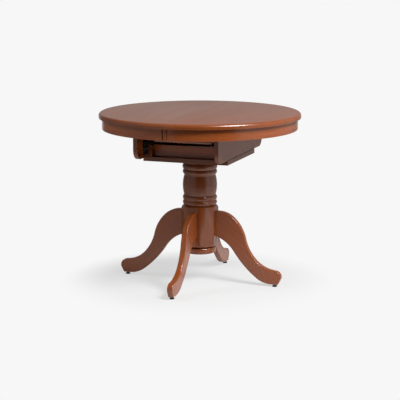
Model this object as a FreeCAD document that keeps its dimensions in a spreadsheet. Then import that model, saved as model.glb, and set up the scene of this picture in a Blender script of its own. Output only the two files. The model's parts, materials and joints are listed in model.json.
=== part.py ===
import FreeCAD, Part
import math
import os
import Sketcher
from types import SimpleNamespace

# A round pedestal table whose two half tops draw apart for a folded leaf that is kept in a box below them.
# The origin is on the floor under the column. X is the way the halves slide, Y runs along the seam, Z is up.

# Driving sizes in millimetres.
SIZES = {
    # Whole table
    "table_height": 770.0,
    "top_diameter": 900.0,
    # Half tops and their rim
    "top_thick": 22.0,
    "rim_round": 13.0,
    "rim_flat": 8.0,
    "seam_gap": 0.6,
    "pin_radius": 4.0,
    "pin_seat": 16.0,
    "pin_proud": 14.0,
    "pin_inner_reach": 150.0,
    "pin_outer_reach": 350.0,
    # Apron under the rim
    "apron_setback": 14.5,
    "apron_thick": 18.0,
    "apron_height": 50.0,
    "bead_width": 8.0,
    "bead_proud": 3.0,
    "bead_drop": 5.0,
    "bead_bow": 1.35,
    "bead_quirk": 3.0,
    "bead_quirk_depth": 6.0,
    "apron_block_length": 60.0,
    "apron_block_depth": 16.0,
    "apron_block_height": 28.0,
    # Slides: a grooved bar fixed to the box, with one runner of each half beside it
    "bar_inset": 45.0,
    "bar_overhang": 10.0,
    "bar_width": 24.0,
    "bar_height": 34.0,
    "bar_drop": 2.0,
    "groove_depth": 8.0,
    "groove_height": 12.0,
    "slide_play": 0.3,
    "runner_width": 20.0,
    "runner_height": 34.0,
    "runner_tail": 150.0,
    "tail_relief": 1.0,
    "runner_end_room": 20.0,
    # Box under the top
    "box_depth": 161.0,
    "box_width": 388.0,
    "rail_end_room": 59.7,
    "rail_thick": 19.0,
    "rail_nose": 44.0,
    "rail_step_gap": 6.0,
    "rail_top_gap": 6.0,
    "panel_thick": 19.0,
    "panel_height": 51.5,
    "corner_block_width": 20.0,
    "corner_block_depth": 24.0,
    "plate_side_lip": 2.0,
    "plate_front_lip": 27.0,
    "plate_thick": 20.0,
    "plate_corner": 4.0,
    # Folded leaf and the angles that carry it
    "leaf_floor": 70.0,
    "leaf_side_room": 25.0,
    "leaf_fold_gap": 6.0,
    "bracket_thick": 2.5,
    "bracket_width": 48.0,
    "bracket_drop": 57.0,
    "bracket_lap": 20.0,
    "bracket_inset": 7.0,
    "bracket_corner_gap": 5.0,
    # Butt hinges of the leaf
    "hinge_inset": 50.0,
    "hinge_width": 50.0,
    "hinge_reach": 30.0,
    "hinge_thick": 1.5,
    "hinge_setback": 4.0,
    "knuckle_radius": 2.7,
    "knuckle_gap": 0.3,
    "hinge_pin_radius": 1.3,
    # Column
    "column_lift": 133.0,
    "foot_disc_height": 32.0,
    "foot_disc_radius": 73.0,
    "foot_disc_round": 9.0,
    "hub_height": 187.0,
    "hub_flats": 155.0,
    "hub_shoulder": 14.0,
    "hub_arris": 0.7,
    "quirk_radius": 70.0,
    "quirk_height": 3.0,
    "turning_radius": 78.0,
    "cavity_flats": 86.0,
    "cavity_roof": 12.0,
    # Legs
    "leg_reach": 385.0,
    "leg_top": 327.0,
    "leg_root": 212.0,
    "leg_sole": 10.5,
    "leg_thick": 25.0,
    "leg_round": 4.0,
    "leg_bolt_low": 240.0,
    "leg_bolt_high": 298.0,
    "leg_bolt_radius": 4.0,
    "leg_bolt_bite": 52.0,
    "leg_bolt_tail": 12.0,
    "washer_radius": 9.0,
    "washer_thick": 1.6,
    "nut_flats": 13.0,
    "nut_height": 6.5,
    # Screw-in glides
    "glide_radius": 10.5,
    "glide_height": 5.0,
    "glide_round": 1.5,
    "glide_neck_radius": 5.5,
    "glide_stem_radius": 3.0,
    "glide_stem_length": 22.0,
    "sleeve_radius": 5.0,
    "sleeve_length": 20.0,
    "sleeve_flange_radius": 9.0,
    "sleeve_flange_thick": 1.5,
    # Wood screws, each with a pan head
    "screw_radius": 2.0,
    "screw_head_radius": 4.0,
    "screw_head_height": 2.6,
    "screw_tip": 4.0,
    "screw_sink": 8.0,
    "runner_screw_bite": 12.0,
    "bar_screw_bite": 24.0,
    "box_screw_bite": 26.0,
    "bracket_screw_bite": 14.0,
    "hinge_screw_radius": 1.2,
    "hinge_screw_head_radius": 2.2,
    "hinge_screw_head_height": 1.0,
    "hinge_screw_bite": 11.0,
    "plate_screw_radius": 4.0,
    "plate_screw_bite": 54.0,
    "plate_screw_head_flats": 13.0,
    "plate_screw_head_height": 5.5,
    "plate_screw_circle": 45.0,
    # Clearances that serve every fit of their kind
    "fit_clearance": 0.05,
    "hole_clearance": 0.3,
    "drill_overrun": 1.0,
}

# Column turning above the hub: height as a share of that length, radius as a share of turning_radius,
# and how far the edge that follows stands off its chord, as a share of turning_radius.
TURNING_SHARES = [
    (0.012, 0.940, 0.050),
    (0.105, 0.940, 0.000),
    (0.113, 0.940, 0.050),
    (0.206, 0.940, 0.000),
    (0.212, 0.910, 0.080),
    (0.630, 0.910, -0.014),
    (0.665, 0.955, 0.042),
    (0.750, 0.945, 0.000),
    (0.757, 0.945, 0.060),
    (0.872, 0.945, 0.000),
    (0.880, 0.920, 0.000),
    (1.000, 0.920, 0.000),
]
# Leg outline from the hub out along the top to the toe: a share of the leg's length from the hub's face
# and a share of leg_top.
LEG_UPPER_SHARES = [
    (0.047, 1.000),
    (0.281, 0.914),
    (0.454, 0.633),
    (0.601, 0.364),
    (0.857, 0.228),
    (0.915, 0.2205),
]
# Where the round of the toe ends and its front slants back to the sole.
TOE_SHARES = (0.9968, 0.1107)
# The sole, and the outline from it back to the hub along the underside.
SOLE_SHARES = (0.952, 0.849)
LEG_LOWER_SHARES = [
    (0.629, 0.102),
    (0.422, 0.281),
    (0.281, 0.451),
]
# Places of repeated fasteners and blocks, as shares of the length that carries them.
RUNNER_SCREW_SHARES = (0.15, 0.50, 0.85)
RAIL_SCREW_SHARES = (-0.66, 0.0, 0.66)
PANEL_SCREW_SHARES = (-0.52, 0.52)
HINGE_SCREW_SHARES = (-0.30, 0.30)
BRACKET_SCREW_SHARES = (-0.27, 0.27)
BRACKET_SCREW_DROP_SHARE = 0.55
HINGE_SCREW_REACH_SHARE = 0.62
KNUCKLE_WIDTH_SHARE = 0.33
SHOULDER_BOW_SHARE = 0.20
APRON_BLOCK_ANGLES = (-62.0, -21.0, 21.0, 62.0)
LEG_ANGLES = {"right": 0.0, "rear": 90.0, "left": 180.0, "front": 270.0}
HALF_TURNS = {"right": 0.0, "left": 180.0}
# The seam bead of each hand, with its turn: the front one runs to the right and the rear one to the left.
BEAD_TURNS = {1: 0.0, -1: 180.0}
SMOOTH = "smooth"
PICK_TOLERANCE = 1e-5


class Dim:
    """A size: its value now, and the expression over the sheet that keeps it."""

    def __init__(self, value, text):
        self.value = value
        self.text = text

    def __add__(self, other):
        other = as_dim(other)
        return Dim(self.value + other.value, f"({self.text} + {other.text})")

    def __sub__(self, other):
        other = as_dim(other)
        return Dim(self.value - other.value, f"({self.text} - {other.text})")

    def __mul__(self, other):
        other = as_dim(other)
        return Dim(self.value * other.value, f"({self.text} * {other.text})")

    def __truediv__(self, other):
        other = as_dim(other)
        return Dim(self.value / other.value, f"({self.text} / {other.text})")

    def __neg__(self):
        return Dim(-self.value, f"(0 - {self.text})")

    def root(self):
        return Dim(math.sqrt(self.value), f"sqrt({self.text})")


def as_dim(number):
    if isinstance(number, Dim):
        return number
    return Dim(float(number), f"({float(number)!r})")


doc = FreeCAD.newDocument("extending_table")
sheet = doc.addObject("Spreadsheet::Sheet", "Sizes")
for row, (size_name, size_value) in enumerate(SIZES.items(), start=1):
    sheet.set(f"A{row}", size_name)
    sheet.set(f"B{row}", str(size_value))
    sheet.setAlias(f"B{row}", size_name)
doc.recompute()
s = SimpleNamespace(**{name: Dim(float(sheet.get(name)), f"Sizes.{name}") for name in SIZES})
ZERO = as_dim(0)
nodes = []

# Levels and faces that several pieces share.
top_under = s.table_height - s.top_thick
box_floor = top_under - s.box_depth
column_top = box_floor - s.plate_thick
half_gap = s.seam_gap / 2
top_radius = s.top_diameter / 2
apron_radius = top_radius - s.apron_setback
apron_inner = apron_radius - s.apron_thick
apron_under = top_under - s.apron_height
bead_end = half_gap + s.bead_width + s.bead_quirk
rail_outer = s.box_width / 2
rail_inner = rail_outer - s.rail_thick
rail_middle = rail_outer - s.rail_thick / 2
rail_end = (apron_inner * apron_inner - rail_outer * rail_outer).root() - s.rail_end_room
bar_middle = rail_end - s.bar_inset
bar_length = s.box_width + s.bar_overhang * 2
bar_top = top_under - s.bar_drop
bar_under = bar_top - s.bar_height
groove_middle = bar_under + s.bar_height / 2
runner_under = top_under - s.runner_height
runner_offset = s.bar_width / 2 + s.slide_play + s.runner_width / 2
leaf_under = box_floor + s.leaf_floor
fold_low = leaf_under + s.top_thick
fold_high = fold_low + s.leaf_fold_gap
hinge_axis_height = fold_low + s.leaf_fold_gap / 2
leaf_half_length = top_radius / 2
# Each half of the top draws out by half the leaf's width.
leaf_half_width = rail_inner - s.leaf_side_room
hinge_middle = leaf_half_width - s.hinge_inset
bracket_shelf = s.leaf_side_room + s.bracket_lap
bracket_middle = leaf_half_length - s.bracket_inset
bracket_start = bracket_middle - s.bracket_width / 2
panel_front_face = bracket_start - s.bracket_corner_gap - s.corner_block_depth
panel_middle = panel_front_face - s.panel_thick / 2
plate_side = rail_outer + s.plate_side_lip
plate_front = panel_front_face + s.plate_front_lip
hub_bottom = s.column_lift + s.foot_disc_height
hub_top = hub_bottom + s.hub_height
hub_face = s.hub_flats / 2
cavity_face = s.cavity_flats / 2
rim_under_round = s.top_thick - s.rim_round - s.rim_flat
leg_length = s.leg_reach - hub_face
glide_place = hub_face + leg_length * ((SOLE_SHARES[0] + SOLE_SHARES[1]) / 2)


def vector(x, y, z=0.0):
    return FreeCAD.Vector(x, y, z)


def turned(angle):
    """The turn about the upright axis by an angle in degrees."""
    return FreeCAD.Rotation(vector(0, 0, 1), angle)


def pointing(x, y, z):
    """The turn that points a fastener, drawn along +Z, another way."""
    return FreeCAD.Rotation(vector(0, 0, 1), vector(x, y, z))


def new_body(label, turn=0.0, place=None):
    """An empty body, turned about Z and then moved."""
    body = doc.addObject("PartDesign::Body", label)
    body.Label = label
    body.Placement = FreeCAD.Placement(vector(0, 0, 0), turned(turn))
    if place:
        for axis, dim in zip("xyz", place):
            body.setExpression(f"Placement.Base.{axis}", as_dim(dim).text)
    return body


def keep(piece):
    """Puts a finished piece on the list of nodes to write."""
    nodes.append(piece)
    return piece


def new_sketch(body, role, offset=ZERO):
    """A sketch on one of the body's own planes, moved along the plane's normal."""
    sketch = body.newObject("Sketcher::SketchObject", f"{body.Name}_sketch")
    plane = next(part for part in body.Origin.OriginFeatures if part.Role == role)
    sketch.AttachmentSupport = [(plane, "")]
    sketch.MapMode = "FlatFace"
    sketch.setExpression("AttachmentOffset.Base.z", offset.text)
    return sketch


def bind(sketch, constraint, dim):
    index = sketch.addConstraint(constraint)
    sketch.setExpression(f"Constraints[{index}]", dim.text)


def arc_about(centre, radius, start, end):
    """The arc that goes anticlockwise about centre from start to end."""
    first = math.atan2(start.y - centre.y, start.x - centre.x)
    last = math.atan2(end.y - centre.y, end.x - centre.x)
    if last <= first:
        last += 2 * math.pi
    return Part.ArcOfCircle(Part.Circle(centre, vector(0, 0, 1), radius), first, last)


def bow_heading(start, end, bow):
    """The heading at start of the arc to end that stands bow off its chord, on the right if positive."""
    chord = end - start
    angle = math.atan2(chord.y, chord.x) - 2 * math.atan(2 * bow / chord.Length)
    return vector(math.cos(angle), math.sin(angle))


def arc_edge(start, end, heading):
    """The arc that leaves start along heading: its curve, end numbers and heading at its end."""
    chord = end - start
    half_sweep = math.atan2(heading.x * chord.y - heading.y * chord.x, heading.dot(chord))
    side = math.copysign(1, half_sweep)
    radius = chord.Length / (2 * math.sin(abs(half_sweep)))
    centre = start + vector(-heading.y, heading.x) * (radius * side)
    along = chord / chord.Length
    leaving = along * (2 * heading.dot(along)) - heading
    if side > 0:
        return arc_about(centre, radius, start, end), 1, 2, leaving
    return arc_about(centre, radius, end, start), 2, 1, leaving


def draw_outline(sketch, corners):
    """A closed outline, fully tied to the sheet. A corner is (x, y) or (x, y, bow), and bow bends the edge
    that leaves it: a size stands that far off the chord, and SMOOTH carries on the edge before it."""
    corners = [(as_dim(corner[0]), as_dim(corner[1]), *corner[2:]) for corner in corners]
    points = [vector(corner[0].value, corner[1].value) for corner in corners]
    edges = []
    heading = None
    for index, corner in enumerate(corners):
        start = points[index]
        end = points[(index + 1) % len(points)]
        bow = corner[2] if len(corner) > 2 else None
        if bow is None:
            heading = (end - start).normalize()
            curve, first, last = Part.LineSegment(start, end), 1, 2
        else:
            if bow is not SMOOTH:
                heading = bow_heading(start, end, bow.value)
            curve, first, last, heading = arc_edge(start, end, heading)
        edges.append((sketch.addGeometry(curve, False), first, last, bow))
    for index, (geometry, first, last, bow) in enumerate(edges):
        x, y = corners[index][:2]
        before, _, before_last, _ = edges[index - 1]
        joint = "Tangent" if bow is SMOOTH else "Coincident"
        sketch.addConstraint(Sketcher.Constraint(joint, before, before_last, geometry, first))
        bind(sketch, Sketcher.Constraint("DistanceX", -1, 1, geometry, first, x.value), x)
        bind(sketch, Sketcher.Constraint("DistanceY", -1, 1, geometry, first, y.value), y)
        if isinstance(bow, Dim):
            next_x, next_y = corners[(index + 1) % len(corners)][:2]
            width, rise = next_x - x, next_y - y
            offset = bow if bow.value > 0 else -bow
            radius = ((width * width + rise * rise) / 4 + offset * offset) / (offset * 2)
            bind(sketch, Sketcher.Constraint("Radius", geometry, radius.value), radius)


def draw_box(sketch, left, right, low, high):
    draw_outline(sketch, [(left, low), (right, low), (right, high), (left, high)])


def draw_circles(sketch, places, radius):
    """Circles of one radius at the given places."""
    for x, y in places:
        x, y = as_dim(x), as_dim(y)
        circle = Part.Circle(vector(x.value, y.value), vector(0, 0, 1), radius.value)
        geometry = sketch.addGeometry(circle, False)
        bind(sketch, Sketcher.Constraint("DistanceX", -1, 1, geometry, 3, x.value), x)
        bind(sketch, Sketcher.Constraint("DistanceY", -1, 1, geometry, 3, y.value), y)
        bind(sketch, Sketcher.Constraint("Radius", geometry, radius.value), radius)


def polygon_corners(half_flats, sides):
    """Corners of a regular polygon with flats across X."""
    reach = half_flats / math.cos(math.pi / sides)
    angles = [math.pi * (2 * side + 1) / sides for side in range(sides)]
    return [(reach * math.cos(angle), reach * math.sin(angle)) for angle in angles]


def add_feature(body, kind, sketch):
    feature = body.newObject(f"PartDesign::{kind}", f"{body.Name}_{kind.lower()}")
    feature.Profile = sketch
    sketch.Visibility = False
    return feature


def pad(body, sketch, length, symmetric=False, back=False):
    feature = add_feature(body, "Pad", sketch)
    feature.SideType = "Symmetric" if symmetric else "One side"
    feature.Reversed = back
    feature.setExpression("Length", length.text)
    doc.recompute()
    return feature


def pocket(body, sketch, length, symmetric=False, along=False):
    """A cut against the sketch's normal, or along it, which has to take something away."""
    before = body.Shape.Volume
    feature = add_feature(body, "Pocket", sketch)
    feature.SideType = "Symmetric" if symmetric else "One side"
    feature.Reversed = along
    feature.setExpression("Length", length.text)
    doc.recompute()
    if not body.Shape.Volume < before:
        raise RuntimeError(f"{feature.Name} cuts nothing from {body.Label}")
    return feature


def revolve(body, corners):
    """A solid turned about Z from its half section, drawn as radius and height."""
    sketch = new_sketch(body, "XZ_Plane")
    draw_outline(sketch, corners)
    feature = add_feature(body, "Revolution", sketch)
    feature.ReferenceAxis = (sketch, ["V_Axis"])
    feature.Angle = 360.0
    doc.recompute()
    return feature


def round_edges(body, kind, size, chosen):
    """A Fillet or Chamfer on the edges of the body so far that chosen() picks."""
    base = body.Tip
    names = [f"Edge{index}" for index, edge in enumerate(base.Shape.Edges, start=1) if chosen(edge)]
    if not names:
        raise RuntimeError(f"no edge to round on {body.Label}")
    feature = body.newObject(f"PartDesign::{kind}", f"{body.Name}_{kind.lower()}")
    feature.Base = (base, names)
    feature.setExpression("Radius" if kind == "Fillet" else "Size", size.text)
    doc.recompute()
    return feature


def near(first, second):
    """True where two lengths are the same for the purpose of picking an edge."""
    return math.isclose(first, second, rel_tol=PICK_TOLERANCE, abs_tol=PICK_TOLERANCE)


def level_edge(edge, height):
    return near(edge.BoundBox.ZMin, height.value) and near(edge.BoundBox.ZMax, height.value)


def round_rim(edge, height):
    return level_edge(edge, height) and isinstance(edge.Curve, Part.Circle)


def copy_at(label, source, x, y, z, rotation):
    """A copy of a source piece at a place."""
    link = doc.addObject("App::Link", f"{label}_copy")
    link.LinkedObject = source
    link.Placement = FreeCAD.Placement(vector(0, 0, 0), rotation)
    for axis, dim in zip("xyz", (x, y, z)):
        link.setExpression(f"Placement.Base.{axis}", as_dim(dim).text)
    return link


def joined(label, links):
    """One node of separate solids."""
    group = doc.addObject("Part::Compound", label)
    group.Label = label
    group.Links = links
    doc.recompute()
    return keep(group)


def copies(label, source, places):
    """One node of separate solids: the source piece at each (x, y, z, rotation)."""
    return joined(label, [copy_at(label, source, *place) for place in places])


def rotated(x, y, angle):
    """A place turned about the column by a multiple of a quarter turn."""
    cosine = round(math.cos(math.radians(angle)))
    sine = round(math.sin(math.radians(angle)))
    x, y = as_dim(x), as_dim(y)
    return x * cosine - y * sine, x * sine + y * cosine


def make_screw(label, radius, head_radius, head_height, length, tip):
    """A pan-head screw along +Z, with the underside of its head at the origin."""
    body = new_body(label)
    revolve(body, [
        (ZERO, -head_height),
        (head_radius, -head_height),
        (head_radius, ZERO),
        (radius, ZERO),
        (radius, length - tip),
        (ZERO, length),
    ])
    return body


def make_rod(label, radius, length):
    """A plain round pin along +Z from the origin."""
    body = new_body(label)
    sketch = new_sketch(body, "XY_Plane")
    draw_circles(sketch, [(ZERO, ZERO)], radius)
    pad(body, sketch, length)
    return body


def drill(body, role, level, places, radius, depth, along):
    """Round holes of one depth, sunk from a level of one of the body's planes."""
    sketch = new_sketch(body, role, level)
    draw_circles(sketch, places, radius)
    pocket(body, sketch, depth, along=along)


# Places that two pieces share, in the frame of the right half or of the whole table.
outer_runner_face = bar_middle + runner_offset + s.runner_width / 2
inner_runner_face = bar_middle - runner_offset + s.runner_width / 2
outer_runner_end = (apron_inner * apron_inner - outer_runner_face * outer_runner_face).root()
inner_runner_end = (apron_inner * apron_inner - inner_runner_face * inner_runner_face).root()
runner_lines = {
    "front": (-bar_middle - runner_offset, outer_runner_end - s.runner_end_room),
    "rear": (bar_middle - runner_offset, inner_runner_end - s.runner_end_room),
}
runner_screw_places = [
    (reach * share, middle) for middle, reach in runner_lines.values() for share in RUNNER_SCREW_SHARES
]
runner_screw_seat = runner_under + s.screw_sink
runner_screw_length = top_under - runner_screw_seat + s.runner_screw_bite
pin_reaches = [-s.pin_outer_reach, -s.pin_inner_reach, s.pin_inner_reach, s.pin_outer_reach]
pin_height = top_under + s.top_thick / 2
bar_screw_seat = bar_top - s.screw_sink
box_screw_seat = column_top + s.screw_sink
rail_screw_reaches = [plate_front * share for share in RAIL_SCREW_SHARES]
panel_screw_reaches = [rail_inner * share for share in PANEL_SCREW_SHARES]
bracket_screw_offsets = [s.bracket_width * share for share in BRACKET_SCREW_SHARES]
bracket_screw_drop = s.bracket_drop * BRACKET_SCREW_DROP_SHARE
hinge_screw_offsets = [s.hinge_width * share for share in HINGE_SCREW_SHARES]
hinge_screw_reach = s.hinge_reach * HINGE_SCREW_REACH_SHARE
plate_screw_offset = s.plate_screw_circle * math.sqrt(0.5)
quarter_signs = [(1, 1), (-1, 1), (-1, -1), (1, -1)]
quarter_turns = [(1, 0), (-1, 0), (1, 180), (-1, 180)]
plate_screw_places = [(plate_screw_offset * a, plate_screw_offset * b) for a, b in quarter_signs]
leg_bolt_heights = [s.leg_bolt_low, s.leg_bolt_high]


def half_ring(sketch, start, outer, inner=None):
    """Half a disc or ring to the right of a line at start from the seam plane."""
    outer_end = (outer * outer - start * start).root()
    corners = [(start, -outer_end, outer - start), (start, outer_end)]
    if inner:
        inner_end = (inner * inner - start * start).root()
        corners += [(start, inner_end, start - inner), (start, -inner_end)]
    draw_outline(sketch, corners)


def make_half_top(side):
    """A half-round board with a rim rounded well over above and a little below."""
    body = new_body(f"top_{side}", HALF_TURNS[side])
    sketch = new_sketch(body, "XY_Plane", top_under)
    half_ring(sketch, half_gap, top_radius)
    pad(body, sketch, s.top_thick)
    round_edges(body, "Fillet", s.rim_round, lambda edge: round_rim(edge, s.table_height))
    round_edges(body, "Fillet", rim_under_round, lambda edge: round_rim(edge, top_under))
    clearance = s.fit_clearance if side == "right" else s.hole_clearance
    pin_places = [(reach, pin_height) for reach in pin_reaches]
    drill(body, "YZ_Plane", half_gap, pin_places, s.pin_radius + clearance, s.pin_seat, along=True)
    hole = s.screw_radius + s.fit_clearance
    depth = s.runner_screw_bite + s.drill_overrun
    drill(body, "XY_Plane", top_under, runner_screw_places, hole, depth, along=True)
    return keep(body)


def make_apron(side):
    """The bent half of the apron, which stops short of the seam for the end beads."""
    body = new_body(f"apron_{side}", HALF_TURNS[side])
    sketch = new_sketch(body, "XY_Plane", apron_under)
    half_ring(sketch, bead_end, apron_radius, apron_inner)
    pad(body, sketch, s.apron_height)
    return keep(body)


def make_apron_beads(beads, side):
    """The two upright beads that close the ends of a half apron at the seam."""
    label = f"apron_beads_{side}"
    links = []
    for hand, turn in BEAD_TURNS.items():
        x, y = rotated(half_gap, -apron_inner * hand, HALF_TURNS[side])
        links.append(copy_at(label, beads[hand], x, y, apron_under, turned(turn + HALF_TURNS[side])))
    joined(label, links)


def make_bead(hand):
    """One bead, drawn with its back at the seam at the origin and its round face towards -Y. Two beads make
    a half round across the seam, and a quirk parts each from the apron. Hand 1 runs to the right, -1 to the
    left."""
    body = new_body("apron_bead")
    sketch = new_sketch(body, "XY_Plane")
    crown = -(s.apron_thick + s.bead_proud)
    quirk_floor = s.bead_quirk_depth - s.apron_thick
    near_side = s.bead_width * hand
    far_side = (s.bead_width + s.bead_quirk) * hand
    draw_outline(sketch, [
        (ZERO, ZERO),
        (ZERO, crown, s.bead_bow * hand),
        (near_side, crown + s.bead_drop),
        (near_side, quirk_floor),
        (far_side, quirk_floor),
        (far_side, ZERO),
    ])
    pad(body, sketch, s.apron_height)
    return body


def make_apron_block():
    """A glue block whose outer face follows the inside of the apron."""
    body = new_body("apron_block")
    sketch = new_sketch(body, "XY_Plane", top_under - s.apron_block_height)
    half = s.apron_block_length / 2
    end = (apron_inner * apron_inner - half * half).root()
    back = apron_inner - s.apron_block_depth
    draw_outline(sketch, [(back, -half), (end, -half, apron_inner - end), (end, half), (back, half)])
    pad(body, sketch, s.apron_block_height)
    return body


def make_runner(end, side):
    """A runner screwed under a half top, with a tongue along the face towards its bar. Its tail, which
    reaches under the other half, is relieved so that it doesn't rub."""
    middle, reach = runner_lines[end]
    label_end = end if side == "right" else {"front": "rear", "rear": "front"}[end]
    body = new_body(f"runner_{label_end}_{side}", HALF_TURNS[side])
    near_face = middle + s.runner_width / 2
    far_face = middle - s.runner_width / 2
    tongue = near_face + s.groove_depth
    tongue_low = groove_middle - s.groove_height / 2 + s.slide_play
    tongue_high = groove_middle + s.groove_height / 2 - s.slide_play
    sketch = new_sketch(body, "YZ_Plane", -s.runner_tail)
    draw_outline(sketch, [
        (far_face, runner_under),
        (near_face, runner_under),
        (near_face, tongue_low),
        (tongue, tongue_low),
        (tongue, tongue_high),
        (near_face, tongue_high),
        (near_face, top_under),
        (far_face, top_under),
    ])
    pad(body, sketch, s.runner_tail + reach)
    relief = new_sketch(body, "XY_Plane", top_under)
    draw_box(relief, -s.runner_tail, half_gap, far_face, near_face)
    pocket(body, relief, s.tail_relief)
    places = [(reach * share, middle) for share in RUNNER_SCREW_SHARES]
    hole = s.screw_radius + s.hole_clearance
    head_hole = s.screw_head_radius + s.hole_clearance
    drill(body, "XY_Plane", runner_under, places, hole, s.runner_height, along=True)
    drill(body, "XY_Plane", runner_under, places, head_hole, s.screw_sink, along=True)
    return keep(body)


def make_halves():
    """Both halves of the top with their aprons, runners and fasteners."""
    beads = {hand: make_bead(hand) for hand in BEAD_TURNS}
    block = make_apron_block()
    screw = make_screw("runner_screw", s.screw_radius, s.screw_head_radius, s.screw_head_height,
                       runner_screw_length, s.screw_tip)
    for side, turn in HALF_TURNS.items():
        make_half_top(side)
        make_apron(side)
        make_apron_beads(beads, side)
        blocks = [(ZERO, ZERO, ZERO, turned(turn + angle)) for angle in APRON_BLOCK_ANGLES]
        copies(f"apron_blocks_{side}", block, blocks)
        for end in runner_lines:
            make_runner(end, side)
        places = [rotated(x, y, turn) for x, y in runner_screw_places]
        copies(f"runner_screws_{side}", screw, [(x, y, runner_screw_seat, turned(0)) for x, y in places])
    pin = make_rod("seam_pin", s.pin_radius, s.pin_seat + s.pin_proud)
    pin_end = half_gap + s.pin_seat
    copies("seam_pins", pin, [(pin_end, reach, pin_height, pointing(-1, 0, 0)) for reach in pin_reaches])


def make_rail(side):
    """A side rail of the box, stepped down at each end for the slide bars, with rounded lower corners."""
    body = new_body(f"rail_{side}", HALF_TURNS[side])
    end = rail_end
    step = bar_middle - runner_offset - s.runner_width / 2 - s.rail_step_gap
    top = top_under - s.rail_top_gap
    nose_bow = s.rail_nose * (1 - math.sqrt(0.5))
    sketch = new_sketch(body, "YZ_Plane", rail_inner)
    draw_outline(sketch, [
        (s.rail_nose - end, box_floor),
        (end - s.rail_nose, box_floor, nose_bow),
        (end, box_floor + s.rail_nose),
        (end, bar_under),
        (step, bar_under),
        (step, top),
        (-step, top),
        (-step, bar_under),
        (-end, bar_under),
        (-end, box_floor + s.rail_nose, nose_bow),
    ])
    pad(body, sketch, s.rail_thick)
    hole = s.screw_radius + s.fit_clearance
    bar_holes = [(rail_middle, bar_middle), (rail_middle, -bar_middle)]
    drill(body, "XY_Plane", bar_under, bar_holes, hole, s.bar_screw_bite + s.drill_overrun, along=False)
    plate_holes = [(rail_middle, reach) for reach in rail_screw_reaches]
    drill(body, "XY_Plane", box_floor, plate_holes, hole, s.box_screw_bite + s.drill_overrun, along=True)
    bracket_holes = [
        (bracket_middle * sign + offset, leaf_under - bracket_screw_drop)
        for sign in (-1, 1) for offset in bracket_screw_offsets
    ]
    depth = s.bracket_screw_bite + s.drill_overrun
    drill(body, "YZ_Plane", rail_inner, bracket_holes, hole, depth, along=True)
    return keep(body)


def make_panel(end):
    """A low cross panel between the rails."""
    body = new_body(f"panel_{end}", 0.0 if end == "front" else 180.0)
    sketch = new_sketch(body, "XY_Plane", box_floor)
    draw_box(sketch, -rail_inner, rail_inner, -panel_front_face, s.panel_thick - panel_front_face)
    pad(body, sketch, s.panel_height)
    places = [(reach, -panel_middle) for reach in panel_screw_reaches]
    hole = s.screw_radius + s.fit_clearance
    drill(body, "XY_Plane", box_floor, places, hole, s.box_screw_bite + s.drill_overrun, along=True)
    return keep(body)


def box_screw_places():
    """Places of the screws that come up through the plate into the rails and panels."""
    rails = [(rail_middle * sign, reach) for sign in (-1, 1) for reach in rail_screw_reaches]
    panels = [(reach, panel_middle * sign) for sign in (-1, 1) for reach in panel_screw_reaches]
    return rails + panels


def make_base_plate():
    """The plate between the box and the column."""
    body = new_body("base_plate")
    sketch = new_sketch(body, "XY_Plane", column_top)
    draw_box(sketch, -plate_side, plate_side, -plate_front, plate_front)
    pad(body, sketch, s.plate_thick)
    round_edges(body, "Fillet", s.plate_corner, lambda e: near(e.BoundBox.ZLength, s.plate_thick.value))
    places = box_screw_places()
    hole = s.screw_radius + s.hole_clearance
    head_hole = s.screw_head_radius + s.hole_clearance
    drill(body, "XY_Plane", column_top, places, hole, s.plate_thick, along=True)
    drill(body, "XY_Plane", column_top, places, head_hole, s.screw_sink, along=True)
    hole = s.plate_screw_radius + s.hole_clearance
    drill(body, "XY_Plane", column_top, plate_screw_places, hole, s.plate_thick, along=True)
    return keep(body)


def make_corner_blocks():
    """Upright glue blocks in the corners outside the panels."""
    body = new_body("corner_block")
    sketch = new_sketch(body, "XY_Plane")
    half = s.corner_block_width / 2
    draw_box(sketch, -half, half, -s.corner_block_depth, ZERO)
    pad(body, sketch, s.panel_height)
    places = []
    for across, turn in quarter_turns:
        place = ((rail_inner - half) * across, -panel_front_face)
        x, y = rotated(*place, turn)
        places.append((x, y, box_floor, turned(turn)))
    copies("corner_blocks", body, places)


def make_bracket():
    """A steel angle, drawn for the right rail with its outer top corner at the origin."""
    body = new_body("leaf_bracket")
    sketch = new_sketch(body, "XZ_Plane")
    draw_outline(sketch, [
        (-s.bracket_thick, -s.bracket_drop),
        (ZERO, -s.bracket_drop),
        (ZERO, ZERO),
        (-bracket_shelf, ZERO),
        (-bracket_shelf, -s.bracket_thick),
        (-s.bracket_thick, -s.bracket_thick),
    ])
    pad(body, sketch, s.bracket_width, symmetric=True)
    places = [(offset, -bracket_screw_drop) for offset in bracket_screw_offsets]
    hole = s.screw_radius + s.hole_clearance
    drill(body, "YZ_Plane", -s.bracket_thick, places, hole, s.bracket_thick, along=True)
    return body


def make_brackets():
    """Four angles on the inside of the rails, which the folded leaf lies on, and their screws."""
    bracket = make_bracket()
    screw = make_screw("bracket_screw", s.screw_radius, s.screw_head_radius, s.screw_head_height,
                       s.bracket_thick + s.bracket_screw_bite, s.screw_tip)
    brackets = []
    screws = []
    for side, turn in HALF_TURNS.items():
        out = 1 if side == "right" else -1
        for sign in (-1, 1):
            middle = bracket_middle * sign
            brackets.append((rail_inner * out, middle, leaf_under, turned(turn)))
            seat = (rail_inner - s.bracket_thick) * out
            height = leaf_under - bracket_screw_drop
            for offset in bracket_screw_offsets:
                screws.append((seat, middle + offset, height, pointing(out, 0, 0)))
    copies("leaf_brackets", bracket, brackets)
    copies("bracket_screws", screw, screws)


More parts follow.
